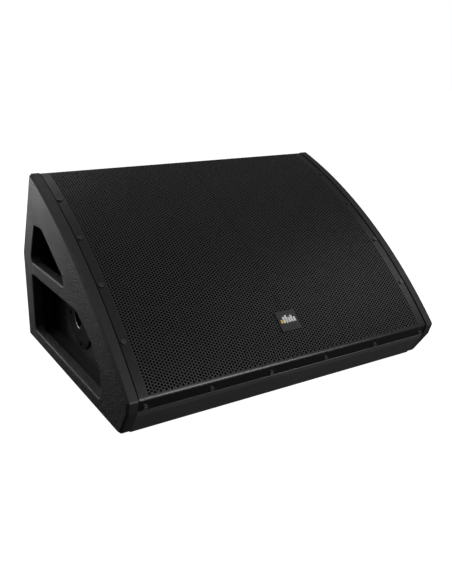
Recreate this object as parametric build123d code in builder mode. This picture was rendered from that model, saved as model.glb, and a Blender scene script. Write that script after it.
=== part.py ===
"""Stage monitor wedge: a plywood floor cabinet with a 15 inch coaxial driver behind a curved steel grille.

Frame, in millimetres: X runs across the cabinet, -Y is the grille side, +Y the rear and +Z is up. The
origin is on the floor, midway between the cheeks and 3 mm ahead of the middle of the depth. The side
profile is drawn in the YZ plane.
"""

import os
from math import asin, cos, hypot, sin, sqrt

from build123d import *

os.makedirs("parts", exist_ok=True)

# ---------------------------------------------------------------- driving dimensions
WIDTH = 620.0
FOOT_HEIGHT = 3.0

# Side profile as (y, z), counter-clockwise seen from +X.
NOSE = (-276.0, 74.0)  # front bend of the grille
FLANGE_END = (-268.0, 52.0)  # lower edge of the grille's flange
TOE = (-231.0, FOOT_HEIGHT)
HEEL = (281.0, FOOT_HEIGHT)
KINK = (248.0, 193.0)  # where the two rear faces meet
APEX = (132.0, 360.0)  # top edge
SAGITTA = 31.8  # how far the grille bows out of the straight line from nose to apex

CHEEK = 18.0  # thickness of the side cheeks
CHEEK_CHAMFER = 4.0
PANEL = 15.0
NOSE_BLOCK = 22.0  # thickness of the front panel
BAFFLE = 18.0
BAFFLE_DEPTH = 14.0  # baffle's front face, below the line from nose to apex
PROUD = 1.5  # how far the cheeks stand above the grille
SHEET = 1.5  # grille steel
RECESS = 50.0  # depth of the side recess, from the cheek's outer face
RECESS_WALL = 15.0

HALF = WIDTH / 2
CHEEK_IN = HALF - CHEEK
WALL_OUT = HALF - RECESS
WALL_IN = WALL_OUT - RECESS_WALL

# ---------------------------------------------------------------- profile geometry
CHORD = hypot(APEX[0] - NOSE[0], APEX[1] - NOSE[1])
COS = (APEX[0] - NOSE[0]) / CHORD
SIN = (APEX[1] - NOSE[1]) / CHORD
RADIUS = (CHORD**2 / 4 + SAGITTA**2) / (2 * SAGITTA)


def slope(along, depth):
    """Point (y, z) at a distance along the line from nose to apex, and at a depth below it."""
    return (NOSE[0] + along * COS + depth * SIN, NOSE[1] + along * SIN - depth * COS)


def bow(along, below=0.0):
    """Point (y, z) on the bowed front, or on an arc that lies below it."""
    rise = sqrt((RADIUS - below) ** 2 - (along - CHORD / 2) ** 2) - (RADIUS - SAGITTA)
    return slope(along, -rise)


def inward(start, end, distance):
    """The profile line from start to end, moved towards the inside of the cabinet."""
    length = hypot(end[0] - start[0], end[1] - start[1])
    dy = -(end[1] - start[1]) / length * distance
    dz = (end[0] - start[0]) / length * distance
    return (start[0] + dy, start[1] + dz), (end[0] + dy, end[1] + dz)


def meet(first, second):
    """Point where two lines, each given by two points, cross."""
    (ax, ay), (bx, by) = first
    (cx, cy), (dx, dy) = second
    ux, uy, vx, vy = bx - ax, by - ay, dx - cx, dy - cy
    t = ((cx - ax) * vy - (cy - ay) * vx) / (ux * vy - uy * vx)
    return (ax + t * ux, ay + t * uy)


def save(builder, name):
    """Label a finished sub-part and write its STEP file."""
    builder.part.label = name
    export_step(builder.part, f"parts/{name}.step")


FRONT_IN = inward(FLANGE_END, TOE, NOSE_BLOCK)
FLOOR_IN = inward(TOE, HEEL, PANEL)
HEEL_IN = inward(HEEL, KINK, PANEL)
BACK_IN = inward(KINK, APEX, PANEL)
BAFFLE_FRONT = (slope(0, BAFFLE_DEPTH), slope(CHORD, BAFFLE_DEPTH))
BAFFLE_REAR = (slope(0, BAFFLE_DEPTH + BAFFLE), slope(CHORD, BAFFLE_DEPTH + BAFFLE))
UNDER_GRILLE = PROUD + SHEET + 0.1
GRILLE_END = 3.2  # the grille stops this far from the apex, on the rear panel's edge
FLOOR_Z = FOOT_HEIGHT + PANEL

ACROSS = Plane.YZ.offset(-CHEEK_IN)


with BuildSketch() as side_profile:
    with BuildLine():
        Polyline(NOSE, FLANGE_END, TOE, HEEL, KINK, APEX)
        ThreePointArc(APEX, bow(CHORD / 2), NOSE)
    make_face()


# ---------------------------------------------------------------- cheeks
UPPER_OPENING = [(-12, 182), (199, 182), (141, 263), (90, 263), (-9, 201)]
LOWER_OPENING = [(199, 156), (224, 30), (-150, 30), (-166, 56), (-164, 86), (-137, 119), (-72, 156)]
OPENING_RADIUS = 9.0
CHEEK_CORNER = 6.0
TOE_CORNER = 14.0
SOFT_EDGE = 3.0


def cheek(name, inner_x, outer_x):
    """One side cheek: the profile in plywood, with two hand openings and a chamfered outer edge."""
    outward = 1 if outer_x > 0 else -1
    with BuildPart() as board:
        with BuildSketch(Plane.YZ.offset(inner_x)) as profile:
            add(side_profile.sketch)
            fillet(profile.vertices().sort_by_distance(TOE)[1:], CHEEK_CORNER)
            fillet(profile.vertices().sort_by_distance(TOE)[0], TOE_CORNER)
        extrude(amount=outward * CHEEK)
        outer_face = board.faces().filter_by(Axis.X).sort_by(Axis.X)[-1 if outward > 0 else 0]
        chamfer(outer_face.outer_wire().edges(), CHEEK_CHAMFER)
        for corners in (UPPER_OPENING, LOWER_OPENING):
            with BuildSketch(Plane.YZ.offset(inner_x)) as opening:
                with BuildLine():
                    Polyline(*corners, close=True)
                make_face()
                fillet(opening.vertices(), OPENING_RADIUS)
            extrude(amount=outward * CHEEK, mode=Mode.SUBTRACT)
        outer_face = board.faces().filter_by(Axis.X).sort_by(Axis.X)[-1 if outward > 0 else 0]
        rims = [edge for wire in outer_face.inner_wires() for edge in wire.edges()]
        fillet(rims, SOFT_EDGE)
    save(board, name)


cheek("left_cheek", -CHEEK_IN, -HALF)
cheek("right_cheek", CHEEK_IN, HALF)


# ---------------------------------------------------------------- cabinet panels between the cheeks
def board_across(name, corners, low_x=-CHEEK_IN, high_x=CHEEK_IN, cuts=()):
    """A panel with the given side profile, from low_x to high_x, without the cuts' volumes."""
    with BuildPart() as panel:
        with BuildSketch(Plane.YZ.offset(low_x)):
            with BuildLine():
                Polyline(*corners, close=True)
            make_face()
        extrude(amount=high_x - low_x)
        for cut in cuts:
            add(cut, mode=Mode.SUBTRACT)
    save(panel, name)


FOOT_X, FOOT_Y = 255.0, (-190.0, 235.0)
FOOT_RADIUS, FOOT_SCREW = 15.0, 2.0
FOOT_RECESS, FOOT_RECESS_DEPTH = 5.5, 1.6
FOOT_SCREW_HEAD, FOOT_SCREW_LENGTH = 1.2, 13.0
foot_spots = [(x, y) for x in (-FOOT_X, FOOT_X) for y in FOOT_Y]

GRILLE_SCREW_PITCH = 103.2
FLANGE_SCREW_PITCH = 112.0
SCREW_SHANK = 1.9
along_bow = [CHORD / 2 + (i - 1.5) * GRILLE_SCREW_PITCH for i in range(4)]
FLANGE_LEAN = (NOSE[0] - FLANGE_END[0], NOSE[1] - FLANGE_END[1])
FLANGE_SCREW_PLACE = 0.68  # from the nose towards the flange's lower edge
FLANGE_SCREW_LINE = (
    NOSE[0] - FLANGE_LEAN[0] * FLANGE_SCREW_PLACE,
    NOSE[1] - FLANGE_LEAN[1] * FLANGE_SCREW_PLACE,
)


def bow_plane(along, below, x=0.0):
    """Plane that touches the bowed front at one place, its normal pointing out of the cabinet."""
    y, z = bow(along, below)
    tilt = asin((along - CHORD / 2) / RADIUS)
    lean = asin(SIN) - tilt
    return Plane(origin=(x, y, z), x_dir=(1, 0, 0), z_dir=(0, -sin(lean), cos(lean)))


def flange_plane(x, below):
    """Plane on the grille's flange, its normal pointing out of the cabinet."""
    size = hypot(*FLANGE_LEAN)
    out = (-FLANGE_LEAN[1] / size, FLANGE_LEAN[0] / size)
    y, z = FLANGE_SCREW_LINE[0] - out[0] * below, FLANGE_SCREW_LINE[1] - out[1] * below
    return Plane(origin=(x, y, z), x_dir=(1, 0, 0), z_dir=(0, out[0], out[1]))


side_screws = [bow_plane(s, PROUD, x) for x in (-CHEEK_IN + 8, CHEEK_IN - 8) for s in along_bow]
flange_screws = [flange_plane((i - 2.5) * FLANGE_SCREW_PITCH, PROUD) for i in range(6)]


def pegs(planes, radius, low, high):
    """Cylinders along the normals of the planes, from low to high, as one list of solids."""
    with BuildPart(mode=Mode.PRIVATE) as made:
        for plane in planes:
            with BuildSketch(plane.offset(low)):
                Circle(radius)
            extrude(amount=high - low)
    return made.part.solids()


SCREW_LENGTH = 12.0
screw_holes = pegs(flange_screws, SCREW_SHANK + 0.1, -SCREW_LENGTH - 1, 3)
foot_holes = pegs([Plane(origin=(x, y, 0)) for x, y in foot_spots], FOOT_SCREW, 0, 17)

floor_profile = [TOE, HEEL, meet(FLOOR_IN, HEEL_IN), meet(FRONT_IN, FLOOR_IN)]
board_across("bottom_panel", floor_profile, cuts=foot_holes)
board_across("rear_lower_panel", [HEEL, KINK, meet(HEEL_IN, BACK_IN), meet(FLOOR_IN, HEEL_IN)])
board_across(
    "rear_upper_panel",
    [
        KINK,
        bow(CHORD - 0.2, UNDER_GRILLE + 0.6),
        bow(CHORD - PANEL - 1, UNDER_GRILLE),
        meet(BACK_IN, BAFFLE_FRONT),
        meet(HEEL_IN, BACK_IN),
    ],
)
flange_back = inward(NOSE, FLANGE_END, UNDER_GRILLE)
board_across(
    "front_panel",
    [
        TOE,
        meet(FRONT_IN, FLOOR_IN),
        meet(FRONT_IN, BAFFLE_FRONT),
        bow(16, UNDER_GRILLE),
        bow(9, UNDER_GRILLE),
        meet(flange_back, (slope(0, 8), slope(9, 8))),
        meet(flange_back, (FLANGE_END, TOE)),
    ],
    cuts=screw_holes,
)

# ---------------------------------------------------------------- baffle and its fittings
DRIVER_ALONG = CHORD / 2 + 15
CUTOUT_RADIUS = 177.0
BOLT_CIRCLE = 187.5
BOLT_SHANK = 2.9
BOLT_ANGLES = [22.5 + 45 * i for i in range(8)]
PORT_X, PORT_ALONG = 200.0, 436.0
PORT_OUTER, PORT_INNER, PORT_LENGTH = 38.0, 35.5, 110.0

driver_origin = (0, *slope(DRIVER_ALONG, BAFFLE_DEPTH))
OUTWARD = (0, -SIN, COS)
baffle_face = Plane(origin=driver_origin, x_dir=(1, 0, 0), z_dir=OUTWARD)
driver_section = Plane(origin=driver_origin, x_dir=(1, 0, 0), z_dir=(0, -COS, -SIN))
driver_axis = Axis(driver_origin, OUTWARD)
port_spots = [(x, PORT_ALONG - DRIVER_ALONG) for x in (-PORT_X, PORT_X)]

baffle_profile = [
    meet(FRONT_IN, BAFFLE_FRONT),
    meet(FRONT_IN, BAFFLE_REAR),
    meet(BACK_IN, BAFFLE_REAR),
    meet(BACK_IN, BAFFLE_FRONT),
]
with BuildPart() as baffle:
    with BuildSketch(ACROSS):
        with BuildLine():
            Polyline(*baffle_profile, close=True)
        make_face()
    extrude(amount=2 * CHEEK_IN)
    with BuildSketch(baffle_face):
        Circle(CUTOUT_RADIUS)
        with PolarLocations(BOLT_CIRCLE, len(BOLT_ANGLES), start_angle=BOLT_ANGLES[0]):
            Circle(BOLT_SHANK + 0.2)
        with Locations(*port_spots):
            Circle(PORT_OUTER + 0.1)
    extrude(amount=-BAFFLE - 2, mode=Mode.SUBTRACT)
save(baffle, "baffle")

with BuildPart() as port_tubes:
    with BuildSketch(baffle_face):
        with Locations(*port_spots):
            Circle(PORT_OUTER + 6)
            Circle(PORT_INNER, mode=Mode.SUBTRACT)
    extrude(amount=3)
    with BuildSketch(baffle_face):
        with Locations(*port_spots):
            Circle(PORT_OUTER)
            Circle(PORT_INNER, mode=Mode.SUBTRACT)
    extrude(amount=-PORT_LENGTH)
save(port_tubes, "port_tubes")

# Battens under the grille's side borders, on the baffle's front face.
BATTEN_WIDTH = 16.0
batten_low, batten_high = 17.0, CHORD - PANEL - 2.5
with BuildPart() as grille_battens:
    for low_x in (-CHEEK_IN, CHEEK_IN - BATTEN_WIDTH):
        with BuildSketch(Plane.YZ.offset(low_x)):
            with BuildLine():
                ThreePointArc(
                    bow(batten_high, UNDER_GRILLE),
                    bow(CHORD / 2, UNDER_GRILLE),
                    bow(batten_low, UNDER_GRILLE),
                )
                Polyline(
                    bow(batten_low, UNDER_GRILLE),
                    slope(batten_low, BAFFLE_DEPTH),
                    slope(batten_high, BAFFLE_DEPTH),
                    bow(batten_high, UNDER_GRILLE),
                )
            make_face()
        extrude(amount=BATTEN_WIDTH)
    for hole in pegs(side_screws, SCREW_SHANK + 0.1, -SCREW_LENGTH - 1, 3):
        add(hole, mode=Mode.SUBTRACT)
save(grille_battens, "grille_battens")

CLEAT = 20.0
CLEAT_LOW, CLEAT_HIGH = 40.0, 385.0
cleat_profile = [
    slope(CLEAT_LOW, BAFFLE_DEPTH + BAFFLE),
    slope(CLEAT_LOW, BAFFLE_DEPTH + BAFFLE + CLEAT),
    slope(CLEAT_HIGH, BAFFLE_DEPTH + BAFFLE + CLEAT),
    slope(CLEAT_HIGH, BAFFLE_DEPTH + BAFFLE),
]
with BuildPart() as baffle_cleats:
    for low_x in (-WALL_IN, WALL_IN - CLEAT):
        with BuildSketch(Plane.YZ.offset(low_x)):
            with BuildLine():
                Polyline(*cleat_profile, close=True)
            make_face()
        extrude(amount=CLEAT)
save(baffle_cleats, "baffle_cleats")

BRACE_Y, BRACE_HEIGHT = 62.0, 24.0
brace_profile = [
    (BRACE_Y, FLOOR_Z),
    (BRACE_Y + BAFFLE, FLOOR_Z),
    (BRACE_Y + BAFFLE, FLOOR_Z + BRACE_HEIGHT),
    (BRACE_Y, FLOOR_Z + BRACE_HEIGHT),
]
board_across("floor_brace", brace_profile, -WALL_IN, WALL_IN)

# ---------------------------------------------------------------- recess walls, pole socket, input plate
SOCKET_Y, SOCKET_Z = 74.0, 91.0
SOCKET_FLANGE, SOCKET_BORE, SOCKET_TUBE = 60.0, 18.0, 20.5
SOCKET_PCD, SOCKET_DEPTH = 98.0, 96.0
PLATE_Y, PLATE_Z, PLATE_LONG, PLATE_TALL = 60.0, 96.0, 150.0, 90.0
CUT_LONG, CUT_TALL = 126.0, 58.0
PLATE_SCREWS = (PLATE_LONG - 14, PLATE_TALL - 14, 2, 2)
PLATE_SHEET, SOCKET_SHEET = 2.0, 3.0
SOCKET_HOLE, SOCKET_SCREW = 2.6, 2.0
PLATE_HOLE, PLATE_SCREW = 2.2, 1.8

wall_profile = [
    meet(FRONT_IN, BAFFLE_REAR),
    meet(FRONT_IN, FLOOR_IN),
    meet(FLOOR_IN, HEEL_IN),
    meet(HEEL_IN, BACK_IN),
    meet(BACK_IN, BAFFLE_REAR),
]
left_wall_face = Plane(origin=(-WALL_OUT, SOCKET_Y, SOCKET_Z), x_dir=(0, -1, 0), z_dir=(-1, 0, 0))
right_wall_face = Plane(origin=(WALL_OUT, PLATE_Y, PLATE_Z), x_dir=(0, 1, 0), z_dir=(1, 0, 0))

with BuildPart() as left_inner_wall:
    with BuildSketch(Plane.YZ.offset(-WALL_OUT)):
        with BuildLine():
            Polyline(*wall_profile, close=True)
        make_face()
    extrude(amount=RECESS_WALL)
    with BuildSketch(left_wall_face):
        Circle(SOCKET_TUBE + 0.3)
        with PolarLocations(SOCKET_PCD / 2, 4):
            Circle(SOCKET_SCREW + 0.1)
    extrude(amount=-RECESS_WALL, mode=Mode.SUBTRACT)
save(left_inner_wall, "left_inner_wall")

with BuildPart() as pole_socket:
    with BuildSketch(left_wall_face):
        Circle(SOCKET_FLANGE)
        Circle(SOCKET_BORE, mode=Mode.SUBTRACT)
        with PolarLocations(SOCKET_PCD / 2, 4):
            Circle(SOCKET_HOLE, mode=Mode.SUBTRACT)
    extrude(amount=SOCKET_SHEET)
    with BuildSketch(left_wall_face):
        Circle(SOCKET_TUBE)
        Circle(SOCKET_BORE, mode=Mode.SUBTRACT)
    extrude(amount=-SOCKET_DEPTH)
    with BuildSketch(left_wall_face.offset(-SOCKET_DEPTH)):
        Circle(SOCKET_TUBE)
    extrude(amount=-SOCKET_SHEET)
    top = pole_socket.faces().sort_by(Axis.X)[0]
    chamfer(top.outer_wire().edges(), 1.0)
save(pole_socket, "pole_socket")

with BuildPart() as pole_socket_screws:
    with BuildSketch(left_wall_face.offset(SOCKET_SHEET)):
        with PolarLocations(SOCKET_PCD / 2, 4):
            Circle(SOCKET_SCREW + 2.5)
    extrude(amount=2.2)
    with BuildSketch(left_wall_face.offset(SOCKET_SHEET)):
        with PolarLocations(SOCKET_PCD / 2, 4):
            Circle(SOCKET_SCREW)
    extrude(amount=-16)
save(pole_socket_screws, "pole_socket_screws")

with BuildPart() as right_inner_wall:
    with BuildSketch(Plane.YZ.offset(WALL_IN)):
        with BuildLine():
            Polyline(*wall_profile, close=True)
        make_face()
    extrude(amount=RECESS_WALL)
    with BuildSketch(right_wall_face):
        Rectangle(CUT_LONG, CUT_TALL)
        with GridLocations(*PLATE_SCREWS):
            Circle(PLATE_SCREW + 0.1)
    extrude(amount=-RECESS_WALL, mode=Mode.SUBTRACT)
save(right_inner_wall, "right_inner_wall")

CONNECTOR_SPOTS = [(-38, 0), (0, 0)]
CONNECTOR_BODY, CONNECTOR_DEPTH = 12.0, 24.0
SWITCH_SPOT = (42, 0)
SWITCH_SLOT = (14.0, 6.0)
SWITCH_TRAVEL = 6.0
SELECTOR_GAP, SELECTOR_DEPTH, SELECTOR_WELL, SELECTOR_EARS = 0.3, 10.0, 6.0, 2.3
with BuildPart() as input_plate:
    with BuildSketch(right_wall_face) as plate_outline:
        RectangleRounded(PLATE_LONG, PLATE_TALL, 6)
        with Locations(*CONNECTOR_SPOTS):
            Circle(CONNECTOR_BODY + 0.2, mode=Mode.SUBTRACT)
        with Locations(SWITCH_SPOT):
            Rectangle(*SWITCH_SLOT, mode=Mode.SUBTRACT)
        with GridLocations(*PLATE_SCREWS):
            Circle(PLATE_HOLE, mode=Mode.SUBTRACT)
    extrude(amount=PLATE_SHEET)
save(input_plate, "input_plate")

with BuildPart() as input_plate_screws:
    with BuildSketch(right_wall_face.offset(PLATE_SHEET)):
        with GridLocations(*PLATE_SCREWS):
            Circle(PLATE_SCREW + 2.2)
    extrude(amount=2)
    with BuildSketch(right_wall_face.offset(PLATE_SHEET)):
        with GridLocations(*PLATE_SCREWS):
            Circle(PLATE_SCREW)
    extrude(amount=-14)
save(input_plate_screws, "input_plate_screws")

# Four-pole speaker sockets: a square front flange, a round body and a keyed well with a centre boss.
with BuildPart() as speaker_sockets:
    with BuildSketch(right_wall_face.offset(PLATE_SHEET)):
        with Locations(*CONNECTOR_SPOTS):
            RectangleRounded(26, 31, 2.5)
    extrude(amount=2)
    with BuildSketch(right_wall_face.offset(PLATE_SHEET)):
        with Locations(*CONNECTOR_SPOTS):
            Circle(CONNECTOR_BODY)
    extrude(amount=-CONNECTOR_DEPTH)
    with BuildSketch(right_wall_face.offset(4)):
        with Locations(*CONNECTOR_SPOTS):
            Circle(10)
            Circle(5.5, mode=Mode.SUBTRACT)
    extrude(amount=-20, mode=Mode.SUBTRACT)
save(speaker_sockets, "speaker_sockets")

with BuildPart() as selector_body:
    with BuildSketch(right_wall_face.offset(-SELECTOR_GAP)):
        with Locations(SWITCH_SPOT):
            Rectangle(30, 14)
    extrude(amount=-SELECTOR_DEPTH)
    with BuildSketch(right_wall_face.offset(-SELECTOR_GAP)):
        with Locations(SWITCH_SPOT):
            Rectangle(20, 7)
    extrude(amount=-SELECTOR_WELL, mode=Mode.SUBTRACT)
    with BuildSketch(right_wall_face.offset(-SELECTOR_EARS)):
        with Locations(SWITCH_SPOT):
            Rectangle(38, 8)
            Rectangle(29, 8, mode=Mode.SUBTRACT)
    extrude(amount=SELECTOR_EARS)
save(selector_body, "selector_body")

KNOB_START = (SWITCH_SPOT[0] - SWITCH_TRAVEL / 2, 0)
with BuildPart() as selector_knob:
    with BuildSketch(right_wall_face.offset(-5)):
        with Locations(KNOB_START):
            Rectangle(7, 5)
    extrude(amount=9)
    chamfer(selector_knob.faces().sort_by(Axis.X)[-1].edges(), 0.8)
save(selector_knob, "selector_knob")

# ---------------------------------------------------------------- grille
GRILLE_GAP = 2.2  # between the grille and each cheek
grille_half = CHEEK_IN - GRILLE_GAP
BEND_RADIUS = 8.0  # outside of the bend
FLANGE_DEPTH = 22.0
sheet_low = (slope(0, FLANGE_DEPTH), slope(9, FLANGE_DEPTH))


def bend(below):
    """Where the flange meets the bow, for a surface at a given distance inside the profile."""
    return meet(inward(NOSE, FLANGE_END, below), (bow(1, below), bow(3, below)))


with BuildPart() as grille:
    with BuildSketch(Plane.YZ.offset(-grille_half)) as bent_sheet:
        with BuildLine():
            front, back = PROUD, PROUD + SHEET
            top = CHORD - GRILLE_END
            ThreePointArc(bow(top, front), bow(CHORD / 2, front), bend(front))
            Polyline(
                bend(front),
                meet(inward(NOSE, FLANGE_END, front), sheet_low),
                meet(inward(NOSE, FLANGE_END, back), sheet_low),
                bend(back),
            )
            ThreePointArc(bend(back), bow(CHORD / 2, back), bow(top, back))
            Line(bow(top, back), bow(top, front))
        make_face()
        fillet(bent_sheet.vertices().sort_by_distance(bend(back))[0], BEND_RADIUS - SHEET)
        fillet(bent_sheet.vertices().sort_by_distance(bend(front))[0], BEND_RADIUS)
    extrude(amount=2 * grille_half)
    for hole in pegs(side_screws + flange_screws, SCREW_SHANK + 0.3, -4, 3):
        add(hole, mode=Mode.SUBTRACT)
save(grille, "grille")

FOAM = 8.0
with BuildPart() as grille_foam:
    with BuildSketch(Plane.YZ.offset(-CHEEK_IN + BATTEN_WIDTH + 0.5)):
        with BuildLine():
            low, high = 18.5, CHORD - PANEL - 3
            ThreePointArc(bow(high, UNDER_GRILLE), bow(CHORD / 2, UNDER_GRILLE), bow(low, UNDER_GRILLE))
            Line(bow(low, UNDER_GRILLE), bow(low, UNDER_GRILLE + FOAM))
            ThreePointArc(
                bow(low, UNDER_GRILLE + FOAM),
                bow(CHORD / 2, UNDER_GRILLE + FOAM),
                bow(high, UNDER_GRILLE + FOAM),
            )
            Line(bow(high, UNDER_GRILLE + FOAM), bow(high, UNDER_GRILLE))
        make_face()
    extrude(amount=2 * (CHEEK_IN - BATTEN_WIDTH - 0.5))
save(grille_foam, "grille_foam")


PAN_HEAD, PAN_RISE = 4.2, 2.2


def pan_screws(name, planes):
    """Pan-head screws with a cross recess, one at each plane."""
    with BuildPart() as screws:
        for plane in planes:
            with BuildSketch(plane.offset(0.05)):
                Circle(PAN_HEAD)
            extrude(amount=PAN_RISE)
            with BuildSketch(plane.offset(0.05)):
                Circle(SCREW_SHANK)
            extrude(amount=-SCREW_LENGTH)
            with BuildSketch(plane.offset(1.4)):
                Rectangle(4, 0.9)
                Rectangle(0.9, 4)
            extrude(amount=2, mode=Mode.SUBTRACT)
    save(screws, name)


pan_screws("grille_side_screws", side_screws)
pan_screws("grille_flange_screws", flange_screws)

BADGE_X, BADGE_ALONG, BADGE_WIDE, BADGE_TALL = 5.5, 69.0, 40.0, 38.0
BADGE_THICK, BADGE_CORNER = 1.8, 1.5
badge_plane = bow_plane(BADGE_ALONG, PROUD, BADGE_X)
with BuildPart() as badge:
    with BuildSketch(badge_plane):
        RectangleRounded(BADGE_WIDE, BADGE_TALL, BADGE_CORNER)
    extrude(amount=BADGE_THICK)
    chamfer(badge.faces().sort_by(Axis.Z)[-1].edges(), 0.4)
save(badge, "badge")

# ---------------------------------------------------------------- feet
with BuildPart() as rubber_feet:
    for x, y in foot_spots:
        with BuildSketch(Plane(origin=(x, y, 0))):
            Circle(FOOT_RADIUS - 1)
        with BuildSketch(Plane(origin=(x, y, FOOT_HEIGHT))):
            Circle(FOOT_RADIUS)
        loft()
        with BuildSketch(Plane(origin=(x, y, 0))):
            Circle(FOOT_RECESS)
        extrude(amount=FOOT_RECESS_DEPTH, mode=Mode.SUBTRACT)
        with BuildSketch(Plane(origin=(x, y, 0))):
            Circle(FOOT_SCREW + 0.2)
        extrude(amount=FOOT_HEIGHT, mode=Mode.SUBTRACT)
save(rubber_feet, "rubber_feet")

with BuildPart() as foot_screws:
    for x, y in foot_spots:
        with BuildSketch(Plane(origin=(x, y, FOOT_RECESS_DEPTH))):
            Circle(FOOT_RECESS - 1)
        extrude(amount=-FOOT_SCREW_HEAD)
        with BuildSketch(Plane(origin=(x, y, FOOT_RECESS_DEPTH))):
            Circle(FOOT_SCREW - 0.1)
        extrude(amount=FOOT_SCREW_LENGTH)
save(foot_screws, "foot_screws")


# ---------------------------------------------------------------- 15 inch coaxial driver
def turned(name, *corners):
    """A piece turned about the driver's axis from one half-section of (radius, height) corners."""
    with BuildPart() as piece:
        with BuildSketch(driver_section):
            with BuildLine():
                Polyline(*corners, close=True)
            make_face()
        revolve(axis=driver_axis)
    save(piece, name)


CONE_REST = 6.0  # height of the cone's edge
PLATE_TOP = -90.0
SPIDER_HEIGHT = -66.0
COIL_RADIUS = 38.0

with BuildPart() as woofer_basket:
    with BuildSketch(driver_section):
        with BuildLine():
            Polyline(
                (170, 3), (170, 6), (194, 6), (194, 0), (176, 0), (84, -84), (84, -90), (56, -90), (56, -84),
                (80, -84), (92, -69), (78, -69), (78, -66.5), (99, -66.5), (172, 3), close=True
            )
        make_face()
    revolve(axis=driver_axis)
    with BuildSketch(baffle_face.offset(-8)):
        with PolarLocations(128, 6):
            Rectangle(52, 78)
    extrude(amount=-54, mode=Mode.SUBTRACT)
    with BuildSketch(baffle_face):
        with PolarLocations(BOLT_CIRCLE, len(BOLT_ANGLES), start_angle=BOLT_ANGLES[0]):
            Circle(BOLT_SHANK + 0.2)
    extrude(amount=8, mode=Mode.SUBTRACT)
save(woofer_basket, "woofer_basket")

turned("woofer_gasket", (171, 7), (171, 9.5), (182, 9.5), (182, 6), (178, 6), (178, 7))
turned("woofer_top_plate", (41, -98), (41, PLATE_TOP), (82, PLATE_TOP), (82, -98))
turned("woofer_magnet", (50, -118), (50, -98), (88, -98), (88, -118))
turned("woofer_back_plate", (18, -128), (18, PLATE_TOP), (37, PLATE_TOP), (37, -118), (82, -118),
       (82, -128))
turned("hf_throat", (18, PLATE_TOP), (20.5, PLATE_TOP), (25, -72), (35, -50), (34, -49.5), (23, -72))
turned("woofer_cone", (152, CONE_REST), (153, CONE_REST - 1.2), (96, -31), (COIL_RADIUS + 1.3, -55),
       (COIL_RADIUS + 0.5, -53), (95, -29.4))
turned("woofer_former", (COIL_RADIUS, -104), (COIL_RADIUS, -50), (COIL_RADIUS + 0.5, -50),
       (COIL_RADIUS + 0.5, -104))
turned("woofer_voice_coil", (COIL_RADIUS + 0.5, -103), (COIL_RADIUS + 0.5, -86),
       (COIL_RADIUS + 1.7, -86), (COIL_RADIUS + 1.7, -103))

with BuildPart() as woofer_surround:
    with BuildSketch(driver_section):
        with BuildLine():
            Polyline((154, CONE_REST), (154, CONE_REST + 1), (156, CONE_REST + 1))
            ThreePointArc((156, CONE_REST + 1), (163, CONE_REST + 7), (170, CONE_REST + 1))
            Polyline((170, CONE_REST + 1), (178, CONE_REST + 1), (178, CONE_REST), (169, CONE_REST))
            ThreePointArc((169, CONE_REST), (163, CONE_REST + 6), (157, CONE_REST))
            Line((157, CONE_REST), (154, CONE_REST))
        make_face()
    revolve(axis=driver_axis)
save(woofer_surround, "woofer_surround")

SPIDER_IN, SPIDER_OUT, SPIDER_WAVES = COIL_RADIUS + 0.8, 96.0, 5
with BuildPart() as woofer_spider:
    with BuildSketch(driver_section):
        pitch = (84 - SPIDER_IN) / (2 * SPIDER_WAVES)
        upper = [
            (SPIDER_IN + i * pitch, SPIDER_HEIGHT + (1.8 if i % 2 else 0.3))
            for i in range(2 * SPIDER_WAVES + 1)
        ]
        lower = [(r, z - 0.8) for r, z in reversed(upper)]
        with BuildLine():
            Polyline(*upper, (SPIDER_OUT, upper[-1][1]), (SPIDER_OUT, lower[0][1]), *lower, close=True)
        make_face()
    revolve(axis=driver_axis)
save(woofer_spider, "woofer_spider")

with BuildPart() as woofer_bolts:
    with BuildSketch(baffle_face.offset(6)):
        with PolarLocations(BOLT_CIRCLE, len(BOLT_ANGLES), start_angle=BOLT_ANGLES[0]):
            Circle(5)
    extrude(amount=3.5)
    with BuildSketch(baffle_face.offset(6)):
        with PolarLocations(BOLT_CIRCLE, len(BOLT_ANGLES), start_angle=BOLT_ANGLES[0]):
            Circle(BOLT_SHANK)
    extrude(amount=-30)
    with BuildSketch(baffle_face.offset(7.5)):
        with PolarLocations(BOLT_CIRCLE, len(BOLT_ANGLES), start_angle=BOLT_ANGLES[0]):
            RegularPolygon(2.6, 6)
    extrude(amount=3, mode=Mode.SUBTRACT)
save(woofer_bolts, "woofer_bolts")

with BuildPart() as woofer_nuts:
    with BuildSketch(baffle_face.offset(-BAFFLE)):
        with PolarLocations(BOLT_CIRCLE, len(BOLT_ANGLES), start_angle=BOLT_ANGLES[0]):
            Circle(8.5)
            Circle(BOLT_SHANK + 0.1, mode=Mode.SUBTRACT)
    extrude(amount=-1.5)
    with BuildSketch(baffle_face.offset(-BAFFLE - 1.5)):
        with PolarLocations(BOLT_CIRCLE, len(BOLT_ANGLES), start_angle=BOLT_ANGLES[0]):
            Circle(4.5)
            Circle(BOLT_SHANK + 0.1, mode=Mode.SUBTRACT)
    extrude(amount=-4)
save(woofer_nuts, "woofer_nuts")

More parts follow.
